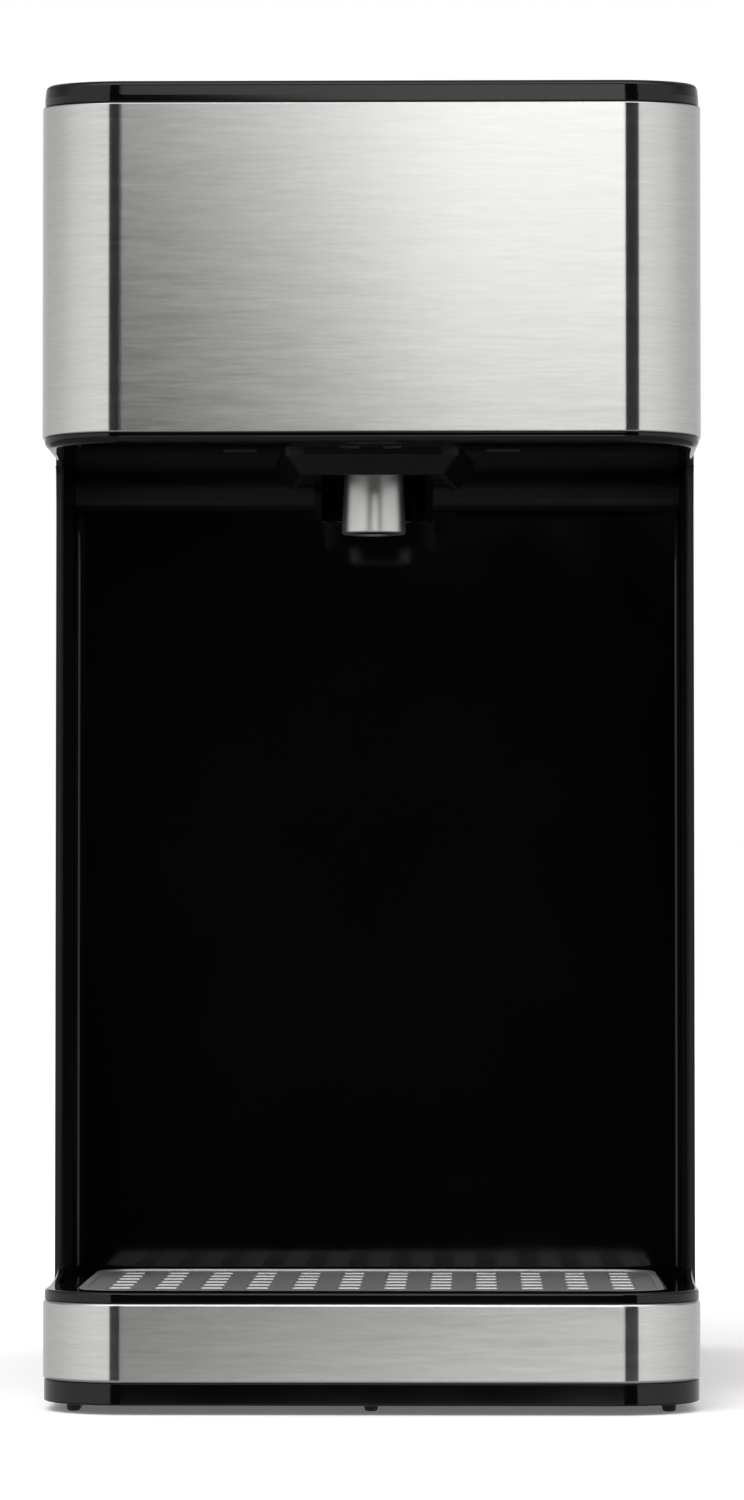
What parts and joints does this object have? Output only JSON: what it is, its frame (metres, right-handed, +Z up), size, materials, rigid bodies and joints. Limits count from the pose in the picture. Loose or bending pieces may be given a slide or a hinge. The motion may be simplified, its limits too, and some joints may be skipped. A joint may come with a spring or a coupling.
{
  "type": "hot water dispenser",
  "caption": "Slim countertop hot water dispenser with a brushed steel head over a black cup bay, chrome nozzle, slotted drip tray, push keys on top and a lift-off rear tank.",
  "frame": {"origin": "on the table under the middle of the body's box", "axes": "+Z up, -Y towards the user at the steel front, +X to the right of the front as seen"},
  "size_m": [0.155, 0.26, 0.3171],
  "materials": {
    "brushed_steel": "horizontal brushed grain",
    "grille_steel": "fine satin",
    "chrome": "polished",
    "gloss_black": "high gloss",
    "satin_black": "fine satin moulding",
    "foot_rubber": "matt",
    "seal_rubber": "matt",
    "silicone_hose": "translucent silicone",
    "lead_sheath": "smooth sheath",
    "smoky_tank": "clear smoky moulding",
    "key_grey": "satin gloss",
    "lens_white": "clear",
    "natural_plastic": "plain moulding",
    "valve_plastic": "plain moulding",
    "dark_plastic": "plain moulding",
    "impeller_plastic": "plain moulding",
    "board_green": "solder mask",
    "zinc_screws": "zinc plated",
    "bright_steel": "drawn",
    "cast_element": "cast",
    "motor_metal": "plated can",
    "brass_cutout": "stamped"
  },
  "bodies": {
    "housing": {"front_panel": "brushed_steel", "base_band": "brushed_steel", "nozzle_sleeve": "chrome", "splash_panel": "gloss_black", "control_panel": "gloss_black", "top_cover": "gloss_black", "base_pan": "gloss_black", "base_deck": "gloss_black", "head_underside": "gloss_black", "nozzle_shroud": "gloss_black", "left_side_panel": "satin_black", "right_side_panel": "satin_black", "rear_cover": "satin_black", "column_rear_wall": "satin_black", "alcove_liner": "satin_black", "nozzle_housing": "satin_black", "nozzle_core": "satin_black", "tank_shelf": "satin_black", "cord_bush": "satin_black", "rubber_feet": "foot_rubber", "pump_cradle": "foot_rubber", "port_seal": "seal_rubber", "outlet_hose": "silicone_hose", "pressure_hose": "silicone_hose", "inlet_hose": "silicone_hose", "control_loom": "lead_sheath", "heater_leads": "lead_sheath", "pump_leads": "lead_sheath", "indicator_lenses": "lens_white", "outlet_chamber": "natural_plastic", "heater_clips": "natural_plastic", "heater_caps": "dark_plastic", "pump_head": "dark_plastic", "key_switches": "dark_plastic", "board_parts": "dark_plastic", "control_board": "board_green", "power_board": "board_green", "base_screws": "zinc_screws", "board_screws": "zinc_screws", "heater_tube": "bright_steel", "heating_element": "cast_element", "pump_motor": "motor_metal", "thermal_cutouts": "brass_cutout"},
    "tray": {"drip_tray": "satin_black"},
    "grille": {"drip_grille": "grille_steel"},
    "tank": {"water_tank": "smoky_tank", "valve_cage": "natural_plastic", "valve_spring": "bright_steel", "lid_pin": "bright_steel"},
    "lid": {"tank_lid": "gloss_black"},
    "valve": {"valve_plunger": "valve_plastic"},
    "impeller": {"pump_impeller": "impeller_plastic"},
    "start_key_body": {"start_key": "key_grey"},
    "power_key_body": {"power_key": "key_grey"},
    "temperature_key_body": {"temperature_key": "key_grey"},
    "volume_key_body": {"volume_key": "key_grey"},
    "lock_key_body": {"lock_key": "key_grey"}
  },
  "joints": [
    {"name": "tray_lift", "type": "slide", "parent": "housing", "child": "tray", "axis": [0, 0, 1], "range_m": [0, 0.06]},
    {"name": "grille_lift", "type": "slide", "parent": "tray", "child": "grille", "axis": [0, 0, 1], "range_m": [0, 0.04]},
    {"name": "tank_lift", "type": "slide", "parent": "housing", "child": "tank", "axis": [0, 0, 1], "range_m": [0, 0.08]},
    {"name": "lid_hinge", "type": "hinge", "parent": "tank", "child": "lid", "pos_m": [0, 0.124, 0.31399], "axis": [-1, 0, 0], "range_deg": [0, 100]},
    {"name": "valve_slide", "type": "slide", "parent": "tank", "child": "valve", "axis": [0, 0, 1], "range_m": [-0.003, 0], "deforming": ["valve_spring"]},
    {"name": "impeller_spin", "type": "hinge", "parent": "housing", "child": "impeller", "pos_m": [0, 0.0865, 0.0362], "axis": [1, 0, 0], "continuous": true},
    {"name": "start_key_press", "type": "slide", "parent": "housing", "child": "start_key_body", "axis": [0, 0.0698, -0.9976], "range_m": [0, 0.0012], "stiffness_N_per_m": 500, "springref_m": -0.002},
    {"name": "power_key_press", "type": "slide", "parent": "housing", "child": "power_key_body", "axis": [0, 0.0698, -0.9976], "range_m": [0, 0.0012], "stiffness_N_per_m": 500, "springref_m": -0.002},
    {"name": "temperature_key_press", "type": "slide", "parent": "housing", "child": "temperature_key_body", "axis": [0, 0.0698, -0.9976], "range_m": [0, 0.0012], "stiffness_N_per_m": 500, "springref_m": -0.002},
    {"name": "volume_key_press", "type": "slide", "parent": "housing", "child": "volume_key_body", "axis": [0, 0.0698, -0.9976], "range_m": [0, 0.0012], "stiffness_N_per_m": 500, "springref_m": -0.002},
    {"name": "lock_key_press", "type": "slide", "parent": "housing", "child": "lock_key_body", "axis": [0, 0.0698, -0.9976], "range_m": [0, 0.0012], "stiffness_N_per_m": 500, "springref_m": -0.002}
  ],
  "couplings": [
    {"joint": "valve_slide", "follows": "tank_lift", "ratio": -0.0375}
  ]
}
